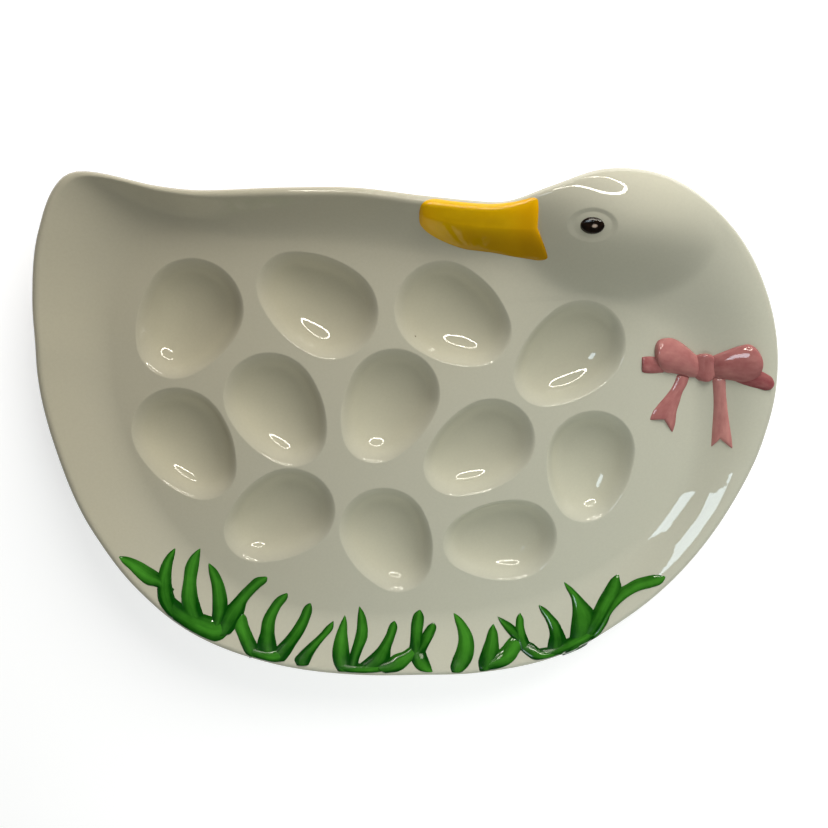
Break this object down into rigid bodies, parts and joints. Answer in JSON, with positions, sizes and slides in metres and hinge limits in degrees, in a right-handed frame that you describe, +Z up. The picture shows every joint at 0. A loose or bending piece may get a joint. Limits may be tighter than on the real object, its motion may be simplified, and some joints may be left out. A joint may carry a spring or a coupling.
{
  "type": "egg platter",
  "caption": "Shallow ceramic dish in the shape of a resting goose, with egg-shaped wells in its floor and a head, beak, eye, bow and grass in low relief on its rim.",
  "frame": {"origin": "centre of the platter's outline at the underside of its foot ring, on the table", "axes": "+X from the tail side to the breast side, +Y from the grass to the head, +Z up from the table"},
  "size_m": [0.3301, 0.2398, 0.0414],
  "materials": {
    "cream_glaze": "gloss, greyish cream, a little uneven",
    "bare_clay": "matt, unglazed",
    "ochre_glaze": "gloss, hand brushed",
    "dark_glaze": "gloss",
    "pink_glaze": "gloss, hand brushed",
    "green_glaze": "gloss, hand brushed"
  },
  "bodies": {
    "root": {"platter_body": "cream_glaze", "foot_ring": "bare_clay", "beak": "ochre_glaze", "eye": "dark_glaze", "bow_knot": "pink_glaze", "bow_left_loop": "pink_glaze", "bow_right_loop": "pink_glaze", "bow_left_tail": "pink_glaze", "bow_right_tail": "pink_glaze", "ribbon_left_end": "pink_glaze", "ribbon_right_end": "pink_glaze", "grass_clump_tail_side": "green_glaze", "grass_clump_left": "green_glaze", "grass_blade_left": "green_glaze", "grass_clump_middle": "green_glaze", "grass_blade_right": "green_glaze", "grass_clump_breast_side": "green_glaze"}
  },
  "joints": []
}
